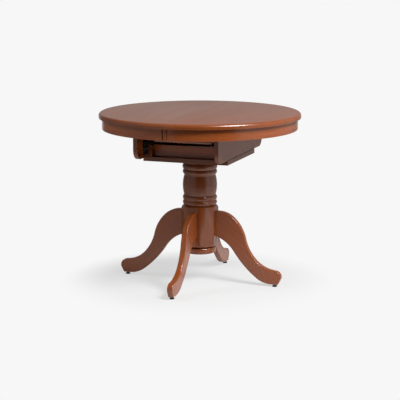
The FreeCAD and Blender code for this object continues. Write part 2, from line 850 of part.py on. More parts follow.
def make_slide_bar(end):
    """The fixed bar of a slide, across the stepped ends of the rails, grooved on both faces."""
    body = new_body(f"slide_bar_{end}", 0.0 if end == "front" else 180.0)
    near_face = -bar_middle + s.bar_width / 2
    far_face = -bar_middle - s.bar_width / 2
    low = groove_middle - s.groove_height / 2
    high = groove_middle + s.groove_height / 2
    sketch = new_sketch(body, "YZ_Plane")
    draw_outline(sketch, [
        (far_face, bar_under),
        (near_face, bar_under),
        (near_face, low),
        (near_face - s.groove_depth, low),
        (near_face - s.groove_depth, high),
        (near_face, high),
        (near_face, bar_top),
        (far_face, bar_top),
        (far_face, high),
        (far_face + s.groove_depth, high),
        (far_face + s.groove_depth, low),
        (far_face, low),
    ])
    pad(body, sketch, bar_length, symmetric=True)
    places = [(-rail_middle, -bar_middle), (rail_middle, -bar_middle)]
    hole = s.screw_radius + s.hole_clearance
    head_hole = s.screw_head_radius + s.hole_clearance
    drill(body, "XY_Plane", bar_top, places, hole, s.bar_height, along=False)
    drill(body, "XY_Plane", bar_top, places, head_hole, s.screw_sink, along=False)
    return keep(body)


def make_box():
    """The box that the column carries: plate, rails, panels, blocks, brackets and slide bars."""
    make_base_plate()
    for side in HALF_TURNS:
        make_rail(side)
    for end in ("front", "rear"):
        make_panel(end)
        make_slide_bar(end)
    make_corner_blocks()
    make_brackets()
    box_screw = make_screw("box_screw", s.screw_radius, s.screw_head_radius, s.screw_head_height,
                           box_floor - box_screw_seat + s.box_screw_bite, s.screw_tip)
    copies("box_screws", box_screw, [(x, y, box_screw_seat, turned(0)) for x, y in box_screw_places()])
    bar_screw = make_screw("slide_bar_screw", s.screw_radius, s.screw_head_radius, s.screw_head_height,
                           bar_screw_seat - bar_under + s.bar_screw_bite, s.screw_tip)
    places = [(rail_middle * a, bar_middle * b) for a, b in quarter_signs]
    copies("slide_bar_screws", bar_screw, [(x, y, bar_screw_seat, pointing(0, 0, -1)) for x, y in places])


def make_plate_screws():
    """Hex-headed screws from inside the box through the plate into the column."""
    body = new_body("plate_screw")
    head = new_sketch(body, "XY_Plane")
    draw_outline(head, polygon_corners(s.plate_screw_head_flats / 2, 6))
    pad(body, head, s.plate_screw_head_height, back=True)
    shank = new_sketch(body, "XY_Plane")
    draw_circles(shank, [(ZERO, ZERO)], s.plate_screw_radius)
    pad(body, shank, s.plate_thick + s.plate_screw_bite)
    copies("plate_screws", body, [(x, y, box_floor, pointing(0, 0, -1)) for x, y in plate_screw_places])


def make_leaf_half(level):
    """Half of the leaf, folded so that the undersides face each other; its rim end is to the front."""
    body = new_body(f"leaf_{level}")
    under = leaf_under if level == "lower" else fold_high
    sketch = new_sketch(body, "XY_Plane", under)
    draw_box(sketch, -leaf_half_width, leaf_half_width, -leaf_half_length, leaf_half_length)
    pad(body, sketch, s.top_thick)
    outside, inside = (under, under + s.top_thick) if level == "lower" else (under + s.top_thick, under)
    front = -leaf_half_length.value
    for face, radius in ((outside, s.rim_round), (inside, rim_under_round)):
        round_edges(body, "Fillet", radius, lambda edge: (
            level_edge(edge, face) and near(edge.BoundBox.YMax, front)))
    middle = under + s.top_thick / 2
    places = [(leaf_half_length - reach, middle) for reach in (s.pin_inner_reach, s.pin_outer_reach)]
    drill(body, "YZ_Plane", leaf_half_width, places, s.pin_radius + s.hole_clearance, s.pin_seat, along=False)
    drill(body, "YZ_Plane", -leaf_half_width, places, s.pin_radius + s.fit_clearance, s.pin_seat, along=True)
    hinge_holes = [
        (hinge_middle * sign + offset, leaf_half_length - hinge_screw_reach)
        for sign in (-1, 1) for offset in hinge_screw_offsets
    ]
    hole = s.hinge_screw_radius + s.fit_clearance
    depth = s.hinge_screw_bite + s.drill_overrun
    drill(body, "XY_Plane", inside, hinge_holes, hole, depth, along=level == "upper")
    return keep(body)


def hinge_knuckles(level):
    """Where the knuckles of one hinge plate start and end along the pin."""
    half = s.hinge_width / 2
    inner = s.hinge_width * KNUCKLE_WIDTH_SHARE / 2
    if level == "upper":
        return [(-inner, inner)]
    return [(-half, -inner - s.knuckle_gap), (inner + s.knuckle_gap, half)]


def make_hinge_plate(level):
    """One plate of a butt hinge, drawn with the middle of its pin at the origin."""
    body = new_body(f"hinge_plate_{level}")
    fold = s.leaf_fold_gap / 2
    low = -fold if level == "lower" else fold - s.hinge_thick
    half = s.hinge_width / 2
    plate = new_sketch(body, "XY_Plane", low)
    draw_box(plate, -half, half, -s.hinge_reach, -s.hinge_setback)
    pad(body, plate, s.hinge_thick)
    for start, end in hinge_knuckles(level):
        tab = new_sketch(body, "XY_Plane", low)
        draw_box(tab, start, end, -s.hinge_setback, ZERO)
        pad(body, tab, s.hinge_thick)
        knuckle = new_sketch(body, "YZ_Plane", start)
        draw_circles(knuckle, [(ZERO, ZERO)], s.knuckle_radius)
        pad(body, knuckle, end - start)
    bore = new_sketch(body, "YZ_Plane")
    draw_circles(bore, [(ZERO, ZERO)], s.hinge_pin_radius + s.fit_clearance)
    pocket(body, bore, s.hinge_width, symmetric=True)
    places = [(offset, -hinge_screw_reach) for offset in hinge_screw_offsets]
    drill(body, "XY_Plane", low, places, s.hinge_screw_radius + s.fit_clearance, s.hinge_thick, along=True)
    return body


def make_leaf():
    """The folded leaf with its hinges and the pins that line it up with the half tops."""
    hinges = [(hinge_middle * sign, leaf_half_length, hinge_axis_height) for sign in (-1, 1)]
    pin = make_rod("leaf_pin", s.pin_radius, s.pin_seat + s.pin_proud)
    screw = make_screw("hinge_screw", s.hinge_screw_radius, s.hinge_screw_head_radius,
                       s.hinge_screw_head_height, s.hinge_thick + s.hinge_screw_bite, s.screw_tip)
    pin_end = s.pin_seat - leaf_half_width
    for level, out in (("lower", -1), ("upper", 1)):
        make_leaf_half(level)
        middle = (leaf_under if level == "lower" else fold_high) + s.top_thick / 2
        reaches = [leaf_half_length - reach for reach in (s.pin_inner_reach, s.pin_outer_reach)]
        copies(f"leaf_pins_{level}", pin, [(pin_end, y, middle, pointing(-1, 0, 0)) for y in reaches])
        plate = make_hinge_plate(level)
        copies(f"hinge_plates_{level}", plate, [(*hinge, turned(0)) for hinge in hinges])
        seat = (s.leaf_fold_gap / 2 - s.hinge_thick) * out
        places = [
            (x + offset, y - hinge_screw_reach, z + seat, pointing(0, 0, out))
            for x, y, z in hinges for offset in hinge_screw_offsets
        ]
        copies(f"hinge_screws_{level}", screw, places)
    hinge_pin = make_rod("hinge_pin", s.hinge_pin_radius, s.hinge_width)
    copies("hinge_pins", hinge_pin, [(x - s.hinge_width / 2, y, z, pointing(1, 0, 0)) for x, y, z in hinges])


def column_section():
    """Half section of the column: foot disc, hub shoulders and the turned shaft above them."""
    hub_radius = hub_face / math.cos(math.pi / 8) - s.hub_arris
    disc = s.foot_disc_radius
    disc_top = hub_bottom - s.quirk_height
    round_bow = s.foot_disc_round * (1 - math.sqrt(0.5))
    shoulder_bow = s.hub_shoulder * SHOULDER_BOW_SHARE
    section = [
        (ZERO, s.column_lift),
        (disc - s.foot_disc_round, s.column_lift, round_bow),
        (disc, s.column_lift + s.foot_disc_round),
        (disc, disc_top - s.foot_disc_round, round_bow),
        (disc - s.foot_disc_round, disc_top),
        (s.quirk_radius - s.foot_disc_round, disc_top),
        (s.quirk_radius - s.foot_disc_round, hub_bottom),
        (s.quirk_radius, hub_bottom, shoulder_bow),
        (hub_radius, hub_bottom + s.hub_shoulder),
        (hub_radius, hub_top - s.hub_shoulder, shoulder_bow),
        (s.quirk_radius, hub_top),
    ]
    length = column_top - hub_top
    for height, reach, bow in TURNING_SHARES:
        corner = (s.turning_radius * reach, hub_top + length * height)
        section.append((*corner, s.turning_radius * bow) if bow else corner)
    section.append((ZERO, column_top))
    return section


def make_column():
    """The turned column with its eight-sided hub, hollowed from below so that the leg nuts can be reached."""
    body = new_body("column")
    revolve(body, column_section())
    flats = new_sketch(body, "XY_Plane", hub_bottom)
    draw_circles(flats, [(ZERO, ZERO)], s.hub_flats)
    draw_outline(flats, polygon_corners(hub_face, 8))
    pocket(body, flats, s.hub_height, along=True)
    cavity = new_sketch(body, "XY_Plane", s.column_lift)
    draw_outline(cavity, polygon_corners(cavity_face, 8))
    pocket(body, cavity, hub_top - s.cavity_roof - s.column_lift, along=True)
    bolt_places = [(ZERO, height) for height in leg_bolt_heights]
    for role in ("XZ_Plane", "YZ_Plane"):
        bolts = new_sketch(body, role)
        draw_circles(bolts, bolt_places, s.leg_bolt_radius + s.hole_clearance)
        pocket(body, bolts, s.hub_flats + s.drill_overrun, symmetric=True)
    hole = s.plate_screw_radius + s.fit_clearance
    depth = s.plate_screw_bite + s.drill_overrun
    drill(body, "XY_Plane", column_top, plate_screw_places, hole, depth, along=False)
    return keep(body)


def leg_outline():
    """The leg's side view, from the top of its root along the upper edge, round the toe and back."""
    outline = [(hub_face, s.leg_top)]
    for reach, height in LEG_UPPER_SHARES:
        outline.append((hub_face + leg_length * reach, s.leg_top * height, SMOOTH))
    reach, height = TOE_SHARES
    outline.append((hub_face + leg_length * reach, s.leg_top * height))
    toe, heel = SOLE_SHARES
    outline.append((hub_face + leg_length * toe, s.leg_sole))
    outline.append((hub_face + leg_length * heel, s.leg_sole, SMOOTH))
    for reach, height in LEG_LOWER_SHARES:
        outline.append((hub_face + leg_length * reach, s.leg_top * height, SMOOTH))
    outline.append((hub_face, s.leg_root))
    return outline


def make_leg(side):
    """A flat S-curved leg with rounded edges, drawn to the right and turned to its face of the hub."""
    body = new_body(f"leg_{side}", LEG_ANGLES[side])
    sketch = new_sketch(body, "XZ_Plane")
    draw_outline(sketch, leg_outline())
    pad(body, sketch, s.leg_thick, symmetric=True)
    side_face = s.leg_thick.value / 2

    def long_edge(edge):
        on_side = near(abs(edge.BoundBox.YMin), side_face) and near(edge.BoundBox.YLength, 0)
        at_root = near(edge.BoundBox.XMax, hub_face.value)
        at_sole = near(edge.BoundBox.ZMax, s.leg_sole.value)
        return on_side and not at_root and not at_sole

    round_edges(body, "Fillet", s.leg_round, long_edge)
    places = [(ZERO, height) for height in leg_bolt_heights]
    bolt_hole = s.leg_bolt_bite + s.drill_overrun
    drill(body, "YZ_Plane", hub_face, places, s.leg_bolt_radius + s.fit_clearance, bolt_hole, along=True)
    stem_hole = s.glide_stem_length + s.drill_overrun
    hole = s.sleeve_radius + s.fit_clearance
    drill(body, "XY_Plane", s.leg_sole, [(glide_place, ZERO)], hole, stem_hole, along=True)
    return keep(body)


def make_leg_fixings():
    """Hanger bolts through the hub's wall, each with a washer and a nut in the hollow."""
    bolt_start = cavity_face - s.leg_bolt_tail
    bolt = make_rod("leg_bolt", s.leg_bolt_radius, hub_face - bolt_start + s.leg_bolt_bite)
    washer = new_body("leg_washer")
    ring = new_sketch(washer, "XY_Plane")
    draw_circles(ring, [(ZERO, ZERO)], s.washer_radius)
    draw_circles(ring, [(ZERO, ZERO)], s.leg_bolt_radius + s.hole_clearance)
    pad(washer, ring, s.washer_thick, back=True)
    nut = new_body("leg_nut")
    hexagon = new_sketch(nut, "XY_Plane")
    draw_outline(hexagon, polygon_corners(s.nut_flats / 2, 6))
    draw_circles(hexagon, [(ZERO, ZERO)], s.leg_bolt_radius + s.fit_clearance)
    pad(nut, hexagon, s.nut_height, back=True)
    seats = {
        "leg_bolts": (bolt, bolt_start),
        "leg_washers": (washer, cavity_face),
        "leg_nuts": (nut, cavity_face - s.washer_thick),
    }
    for label, (source, seat) in seats.items():
        places = []
        for angle in LEG_ANGLES.values():
            x, y = rotated(seat, ZERO, angle)
            way = turned(angle).multVec(vector(1, 0, 0))
            places += [(x, y, height, pointing(way.x, way.y, 0)) for height in leg_bolt_heights]
        copies(label, source, places)


def make_glide(side):
    """A screw-in glide: round pad, neck and stem."""
    x, y = rotated(glide_place, ZERO, LEG_ANGLES[side])
    body = new_body(f"glide_{side}", place=(x, y, ZERO))
    neck_top = s.leg_sole - s.sleeve_flange_thick
    round_bow = s.glide_round * (1 - math.sqrt(0.5))
    revolve(body, [
        (ZERO, ZERO),
        (s.glide_radius - s.glide_round, ZERO, round_bow),
        (s.glide_radius, s.glide_round),
        (s.glide_radius, s.glide_height - s.glide_round, round_bow),
        (s.glide_radius - s.glide_round, s.glide_height),
        (s.glide_neck_radius, s.glide_height),
        (s.glide_neck_radius, neck_top),
        (s.glide_stem_radius, neck_top),
        (s.glide_stem_radius, s.leg_sole + s.glide_stem_length),
        (ZERO, s.leg_sole + s.glide_stem_length),
    ])
    return keep(body)


def make_glide_sleeves():
    """Flanged sleeves let into the soles for the glides' stems."""
    body = new_body("glide_sleeve")
    bore = s.glide_stem_radius + s.fit_clearance
    revolve(body, [
        (bore, -s.sleeve_flange_thick),
        (s.sleeve_flange_radius, -s.sleeve_flange_thick),
        (s.sleeve_flange_radius, ZERO),
        (s.sleeve_radius, ZERO),
        (s.sleeve_radius, s.sleeve_length),
        (bore, s.sleeve_length),
    ])
    places = []
    for angle in LEG_ANGLES.values():
        x, y = rotated(glide_place, ZERO, angle)
        places.append((x, y, s.leg_sole, turned(0)))
    copies("glide_sleeves", body, places)


def make_pedestal():
    """The column, legs and glides with their fixings."""
    make_column()
    make_plate_screws()
    for side in LEG_ANGLES:
        make_leg(side)
        make_glide(side)
    make_leg_fixings()
    make_glide_sleeves()


def check_document():
    """Stops if any object of the document failed or any node has no sound shape."""
    for item in doc.Objects:
        if "Invalid" in item.State or "Error" in item.State:
            raise RuntimeError(f"{item.Label} failed: {item.State}")
    for node in nodes:
        if node.Shape.isNull() or not node.Shape.isValid():
            raise RuntimeError(f"{node.Label} has no sound shape")


make_pedestal()
make_box()
make_halves()
make_leaf()
doc.recompute()
check_document()
os.makedirs("parts", exist_ok=True)
for node in nodes:
    node.Shape.exportStep(f"parts/{node.Label}.step")
    print(node.Label, len(node.Shape.Solids), "solids", round(node.Shape.Volume), "cubic mm")
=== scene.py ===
import json
import math

import bmesh
import bpy
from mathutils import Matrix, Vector


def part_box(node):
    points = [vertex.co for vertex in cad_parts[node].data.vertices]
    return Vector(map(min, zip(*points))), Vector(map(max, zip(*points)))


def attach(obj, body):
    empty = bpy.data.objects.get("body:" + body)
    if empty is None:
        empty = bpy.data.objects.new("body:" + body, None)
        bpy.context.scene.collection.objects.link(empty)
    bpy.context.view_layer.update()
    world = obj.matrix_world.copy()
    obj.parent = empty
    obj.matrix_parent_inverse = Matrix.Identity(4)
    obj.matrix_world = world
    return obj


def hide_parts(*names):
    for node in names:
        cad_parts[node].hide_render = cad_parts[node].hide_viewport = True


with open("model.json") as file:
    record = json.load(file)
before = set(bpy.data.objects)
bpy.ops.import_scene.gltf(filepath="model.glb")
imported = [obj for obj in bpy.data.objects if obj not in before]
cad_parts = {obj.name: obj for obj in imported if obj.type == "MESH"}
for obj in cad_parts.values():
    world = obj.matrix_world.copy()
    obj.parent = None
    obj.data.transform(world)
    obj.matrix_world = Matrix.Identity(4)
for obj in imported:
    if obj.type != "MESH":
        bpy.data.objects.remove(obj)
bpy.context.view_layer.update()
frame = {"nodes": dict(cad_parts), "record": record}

bl_info = {
    "name": "Extending Pedestal Table",
    "version": (1, 0, 0),
    "blender": (4, 5, 0),
    "location": "View3D > Sidebar > Table",
    "description": "Dresses a round pedestal table whose two half tops draw apart for a folded leaf",
    "category": "Object",
}

MM = 0.001
NODES = frame["nodes"]
BODIES = frame["record"]["behaviour"]["bodies"]
SLOTS = {row["node"]: row["material_slot"] for row in frame["record"]["subparts"]}
BODY_OF = {node: body for body, members in BODIES.items() for node in members}
LEG_SIDES = ("right", "rear", "left", "front")
HALVES = ("right", "left")
ENDS = ("front", "rear")
SCREW_NODES = (
    "box_screws",
    "bracket_screws",
    "slide_bar_screws",
    "runner_screws_right",
    "runner_screws_left",
    "hinge_screws_lower",
    "hinge_screws_upper",
)
SCREW_SEED = 7
# A screw's facets, and its shape in shares of the head's radius and height and the shank's radius.
HEAD_SIDES = 28
DOME_RINGS = 18
DOME_SPREAD = 1.25
RECESS_LENGTH = 1.15
RECESS_WIDTH = 0.30
RECESS_DEPTH = 0.65
SHANK_SIDES = 14
TIP_SHARE = 0.3
# Closer than this, two points are one, and two levels on a screw are the same.
SAME_POINT = 0.002 * MM
SAME_LEVEL = 0.01 * MM
# Faces that meet at less than the first angle are one flat face. Above the others, an edge is sharp.
FLAT_ANGLE = math.radians(0.1)
SHARP_ANGLE = math.radians(35)
SCREW_ANGLE = math.radians(30)
# Holes up to this wide keep a sharp rim, and on the column only edges longer than this are rubbed round.
WIDEST_HOLE = 30 * MM
STRAIGHT_EDGE = 20 * MM
ARRIS_SEGMENTS = 3
# Ways that grain runs.
ALONG_X = (1, 0, 0)
ALONG_Y = (0, 1, 0)
UPRIGHT = (0, 0, 1)
# Wood: the length along the grain and the width across it of each pattern, in metres.
FIGURE_SIZE = (0.34, 0.014)
PORE_SIZE = (0.022, 0.0011)
TONE_SIZE = (0.9, 0.11)
STAVE_WIDTH = 0.075
# How far one seed shifts the grain, how steeply a leg's grain falls, and how dull bare beech is.
SEED_STEP = (0.71, 0.37, 0.53)
LEG_GRAIN_FALL = 0.8
BEECH_ROUGHNESS = 0.62
# Sizes of the zinc's spangle and of the plastic's mould grain, in metres, and how much each varies in tone.
SPANGLE_SIZE = 0.004
SPANGLE_SHADE = 0.82
GRIT_SIZE = 0.0008
GRIT_SHADE = 1.6
# Soft boxes: azimuth from the front round to the right and rise, both in degrees, and share of the power.
SOFT_BOXES = {
    "key_front": (58.0, 48.0, 0.70),
    "key_side": (66.0, 43.0, 1.60),
    "fill_left": (-68.0, 34.0, 0.42),
}
SOFT_BOX_SIZE = 1.2
SOFT_BOX_REACH = 3.4
SOFT_BOX_AIM = Vector((0.0, 0.0, 0.65))
# The floor is white to the light that it throws back, grey past the feet, and held down to the camera so that
# it doesn't clip. The camera sees it mixed with plain backdrop, by this share near the table.
FLOOR_WHITE = 0.68
FLOOR_GREY = 0.20
FLOOR_SEEN = 0.48
FLOOR_NEAR_SHARE = 0.62
FLOOR_HALF = 30.0
# Fades over the floor, by the distance from the middle in metres, and the fade from the walls to the ceiling,
# by how high a direction points.
NEAR_FADE = (0.38, 0.66)
GREY_FADE = (0.5, 1.0)
SWEEP_FADE = (1.6, 2.4)
CEILING_FADE = (0.5, 0.8)
SENSOR_WIDTH = 36.0
# How bright the room is, by the azimuth in degrees from the front round to the right.
SIDE_LEVELS = (
    (-128.0, 0.14),
    (-100.0, 0.24),
    (-70.0, 0.50),
    (-12.0, 0.46),
    (-6.0, 0.06),
    (58.0, 0.06),
    (64.0, 1.00),
    (120.0, 0.85),
    (147.0, 0.65),
    (157.0, 0.40),
    (174.0, 0.34),
)
# Behind the table, the floor that sweeps up is brighter than the wall.
WALL_LEVELS = ((-180.0, 0.40), (-137.0, 0.40), *SIDE_LEVELS, (180.0, 0.40))
SWEEP_LEVELS = ((-180.0, 0.95), (-137.0, 0.95), *SIDE_LEVELS, (180.0, 0.95))


def linear(code):
    """A linear colour from an sRGB hex value."""
    parts = [int(code[i:i + 2], 16) / 255 for i in (1, 3, 5)]
    return tuple(c / 12.92 if c <= 0.04045 else ((c + 0.055) / 1.055) ** 2.4 for c in parts)


def opaque(colour):
    """A colour with full alpha."""
    return (*colour, 1.0)


class TableStain(bpy.types.PropertyGroup):
    """Colours and gloss of the stained and lacquered wood."""
    light: bpy.props.FloatVectorProperty(
        name="Light Grain", description="Stain on the open, early grain", subtype="COLOR",
        default=linear("#723816"), min=0, max=1)
    dark: bpy.props.FloatVectorProperty(
        name="Dark Grain", description="Stain on the dense, late grain", subtype="COLOR",
        default=linear("#673213"), min=0, max=1)
    pores: bpy.props.FloatVectorProperty(
        name="Pores", description="Stain gathered in the open pores", subtype="COLOR",
        default=linear("#42200C"), min=0, max=1)
    roughness: bpy.props.FloatProperty(
        name="Lacquer Roughness", description="Roughness of the satin lacquer", subtype="FACTOR",
        default=0.22, min=0, max=1)


class TablePlain(bpy.types.PropertyGroup):
    """Colours of the unstained wood, steel and plastic."""
    beech_light: bpy.props.FloatVectorProperty(
        name="Beech", description="Planed beech of the slides and blocks", subtype="COLOR",
        default=linear("#C9A176"), min=0, max=1)
    beech_dark: bpy.props.FloatVectorProperty(
        name="Beech Flecks", description="Rays and late grain of the beech", subtype="COLOR",
        default=linear("#A97D52"), min=0, max=1)
    zinc: bpy.props.FloatVectorProperty(
        name="Zinc", description="Zinc plating on the steel", subtype="COLOR",
        default=linear("#8A8E96"), min=0, max=1)
    # A darker copy of the zinc colour, used on the angles that carry the leaf.
    dark_zinc: bpy.props.FloatVectorProperty(
        name="Dark Zinc", description="Darker zinc on the angles that carry the leaf", subtype="COLOR",
        default=linear("#3C3F46"), min=0, max=1)
    plastic: bpy.props.FloatVectorProperty(
        name="Glide Plastic", description="Black plastic of the glides", subtype="COLOR",
        default=linear("#121213"), min=0, max=1)


class TableEdges(bpy.types.PropertyGroup):
    """How far sharp edges are rubbed down before the finish."""
    board: bpy.props.FloatProperty(
        name="Board Arris", description="Softening of the half tops and the leaf", unit="LENGTH",
        default=0.8 * MM, min=0)
    box: bpy.props.FloatProperty(
        name="Box Arris", description="Softening of the rails, panels and plate", unit="LENGTH",
        default=1.2 * MM, min=0)
    apron: bpy.props.FloatProperty(
        name="Apron Arris", description="Softening of the bent aprons", unit="LENGTH",
        default=1.0 * MM, min=0)
    bead: bpy.props.FloatProperty(
        name="Bead Arris", description="Softening of the beads where they meet", unit="LENGTH",
        default=0.3 * MM, min=0)
    slide: bpy.props.FloatProperty(
        name="Slide Arris", description="Softening of the slides and glue blocks", unit="LENGTH",
        default=0.5 * MM, min=0)
    hub: bpy.props.FloatProperty(
        name="Hub Arris", description="Softening of the edges between the hub's facets", unit="LENGTH",
        default=1.0 * MM, min=0)
    steel: bpy.props.FloatProperty(
        name="Steel Edge", description="Softening of sheared steel edges", unit="LENGTH",
        default=0.3 * MM, min=0)


class TableStage(bpy.types.PropertyGroup):
    """Camera, light and backdrop."""
    camera_place: bpy.props.FloatVectorProperty(
        name="Camera", description="Where the camera stands", subtype="TRANSLATION", unit="LENGTH",
        default=(1.995, -5.531, 1.495))
    azimuth: bpy.props.FloatProperty(
        name="Azimuth", description="How far the camera stands round to the right of the seam",
        subtype="ANGLE", default=math.radians(19.83))
    pitch: bpy.props.FloatProperty(
        name="Pitch", description="How far the camera looks down", subtype="ANGLE",
        default=math.radians(10.83))
    lens: bpy.props.FloatProperty(
        name="Lens", description="Focal length", unit="CAMERA", default=119.7)
    room: bpy.props.FloatProperty(
        name="Room", description="Strength of the light from the room's walls", default=1.0, min=0)
    ceiling: bpy.props.FloatProperty(
        name="Ceiling", description="Strength of the light from straight above", default=0.30, min=0)
    key_power: bpy.props.FloatProperty(
        name="Soft Boxes", description="Power that the soft boxes share out", unit="POWER",
        default=95.0, min=0)
    background: bpy.props.FloatVectorProperty(
        name="Background", description="Pale backdrop", subtype="COLOR", default=linear("#F7F7F7"),
        min=0, max=1)


GROUPS = {
    "table_stain": TableStain,
    "table_plain": TablePlain,
    "table_edges": TableEdges,
    "table_stage": TableStage,
}


def add(tree, kind, inputs=None, **settings):
    """A new node with its settings, whose inputs are values or the sockets that feed them."""
    node = tree.nodes.new(kind)
    for name, value in settings.items():
        setattr(node, name, value)
    for key, value in (inputs or {}).items():
        if isinstance(value, bpy.types.NodeSocket):
            tree.links.new(value, node.inputs[key])
        else:
            node.inputs[key].default_value = value
    return node


def new_material(name):
    """An empty node material and the tree that it holds."""
    material = bpy.data.materials.new(name)
    material.use_nodes = True
    tree = material.node_tree
    tree.nodes.clear()
    return material, tree


def grain_space(tree, along, seed, bent):
    """Object coordinates turned so that X runs along the grain. Bent wood follows the arc about Z."""
    place = add(tree, "ShaderNodeTexCoord").outputs["Object"]
    if bent:
        parts = add(tree, "ShaderNodeSeparateXYZ", {"Vector": place}).outputs
        angle = add(tree, "ShaderNodeMath", {0: parts["Y"], 1: parts["X"]}, operation="ARCTAN2")
        arc = add(tree, "ShaderNodeMath", {0: angle.outputs[0], 1: bent}, operation="MULTIPLY")
        flat = add(tree, "ShaderNodeCombineXYZ", {"X": parts["X"], "Y": parts["Y"], "Z": 0.0})
        reach = add(tree, "ShaderNodeVectorMath", {0: flat.outputs[0]}, operation="LENGTH")
        place = add(tree, "ShaderNodeCombineXYZ", {
            "X": arc.outputs[0], "Y": reach.outputs["Value"], "Z": parts["Z"]}).outputs[0]
    turn = Vector(along).rotation_difference(Vector(ALONG_X)).to_euler()
    return add(tree, "ShaderNodeMapping", {
        "Vector": place, "Rotation": turn, "Location": tuple(step * seed for step in SEED_STEP)}).outputs[0]


def streaks(tree, space, size, detail, distortion=0.0):
    """Noise drawn out along the grain, with streaks of a real length and width in metres."""
    length, width = size
    scaled = add(tree, "ShaderNodeMapping", {
        "Vector": space, "Scale": (1 / length, 1 / width, 1 / width)}).outputs[0]
    return add(tree, "ShaderNodeTexNoise", {
        "Vector": scaled, "Scale": 1.0, "Detail": detail, "Roughness": 0.55,
        "Distortion": distortion}).outputs["Fac"]


def wood(name, light, dark, pores, roughness, along, seed, bent=0.0, stave=0.0, contrast=1.0):
    """Wood with a figure of light and dark grain, open pores and, on wide boards, glued staves."""
    material, tree = new_material(name)
    space = grain_space(tree, along, seed, bent)
    # Growth figure: bands about 14 mm wide that run for a third of a metre.
    figure = streaks(tree, space, FIGURE_SIZE, 3.0, 0.5)
    figure = add(tree, "ShaderNodeMapRange", {
        "Value": figure, "From Min": 0.34, "From Max": 0.66, "To Min": 0.5 - 0.5 * contrast,
        "To Max": 0.5 + 0.5 * contrast}, interpolation_type="SMOOTHSTEP").outputs[0]
    colour = add(tree, "ShaderNodeMix", {0: figure, 6: opaque(dark), 7: opaque(light)}, data_type="RGBA")
    # Pores are a quarter of a millimetre wide; they are drawn four times as wide so that they show.
    pore = streaks(tree, space, PORE_SIZE, 2.0)
    pore = add(tree, "ShaderNodeMapRange", {
        "Value": pore, "From Min": 0.56, "From Max": 0.74, "To Max": 0.55}).outputs[0]
    colour = add(tree, "ShaderNodeMix", {
        0: pore, 6: colour.outputs[2], 7: opaque(pores)}, data_type="RGBA")
    # Each board drifts a little in tone, and each stave has a tone of its own.
    tone = streaks(tree, space, TONE_SIZE, 1.0)
    tone = add(tree, "ShaderNodeMapRange", {
        "Value": tone, "From Min": 0.3, "From Max": 0.7, "To Min": 0.93, "To Max": 1.07}).outputs[0]
    if stave:
        across = add(tree, "ShaderNodeSeparateXYZ", {"Vector": space}).outputs["Y"]
        row = add(tree, "ShaderNodeMath", {0: across, 1: stave}, operation="DIVIDE").outputs[0]
        row = add(tree, "ShaderNodeMath", {0: row}, operation="FLOOR").outputs[0]
        chance = add(tree, "ShaderNodeTexWhiteNoise", {"W": row}, noise_dimensions="1D").outputs["Value"]
        chance = add(tree, "ShaderNodeMapRange", {
            "Value": chance, "To Min": 0.97, "To Max": 1.03}).outputs[0]
        tone = add(tree, "ShaderNodeMath", {0: tone, 1: chance}, operation="MULTIPLY").outputs[0]
    colour = add(tree, "ShaderNodeVectorMath", {0: colour.outputs[2], "Scale": tone}, operation="SCALE")
    # The dense grain is a little duller than the open grain.
    gloss = add(tree, "ShaderNodeMapRange", {
        "Value": figure, "To Min": roughness + 0.04, "To Max": roughness - 0.03}).outputs[0]
    relief = add(tree, "ShaderNodeBump", {
        "Height": pore, "Strength": 0.06, "Distance": 0.3 * MM}, invert=True)
    shader = add(tree, "ShaderNodeBsdfPrincipled", {
        "Base Color": colour.outputs[0], "Roughness": gloss, "IOR": 1.5, "Normal": relief.outputs[0]})
    add(tree, "ShaderNodeOutputMaterial", {"Surface": shader.outputs[0]})
    return material


def stained(name, along, seed, bent=0.0, stave=0.0, polish=1.0, contrast=1.0, painted_light_and_shade=1.0):
    """Red-brown stained hardwood under satin lacquer: warm face-on, pale and veiled at a low angle.
    Each part's stain is scaled by a factor that paints light and shade into it: above one is painted light,
    below one is painted shade."""
    stain = bpy.context.scene.table_stain
    light, dark, pores = (tuple(c * painted_light_and_shade for c in tone) for tone in (stain.light, stain.dark, stain.pores))
    return wood(name, light, dark, pores, stain.roughness * polish, along, seed, bent, stave, contrast)


def planed_beech(name, along, seed):
    """Planed, unfinished beech: pale and dull, with short darker flecks."""
    plain = bpy.context.scene.table_plain
    return wood(name, tuple(plain.beech_light), tuple(plain.beech_dark), tuple(plain.beech_dark),
                BEECH_ROUGHNESS, along, seed)


def zinc_plate(name, seed, zinc):
    """Zinc-plated sheet steel: bluish grey and softly mottled, with faint spangle a few millimetres wide."""
    material, tree = new_material(name)
    place = add(tree, "ShaderNodeTexCoord").outputs["Object"]
    place = add(tree, "ShaderNodeMapping", {"Vector": place, "Location": (seed, seed, seed)}).outputs[0]
    spangle = add(tree, "ShaderNodeTexVoronoi", {"Vector": place, "Scale": 1 / SPANGLE_SIZE}).outputs["Color"]
    value = add(tree, "ShaderNodeSeparateColor", {"Color": spangle}).outputs[0]
    shaded = tuple(c * SPANGLE_SHADE for c in zinc)
    colour = add(tree, "ShaderNodeMix", {0: value, 6: opaque(shaded), 7: opaque(zinc)}, data_type="RGBA")
    gloss = add(tree, "ShaderNodeMapRange", {"Value": value, "To Min": 0.38, "To Max": 0.50}).outputs[0]
    shader = add(tree, "ShaderNodeBsdfPrincipled", {
        "Base Color": colour.outputs[2], "Metallic": 1.0, "Roughness": gloss})
    add(tree, "ShaderNodeOutputMaterial", {"Surface": shader.outputs[0]})
    return material


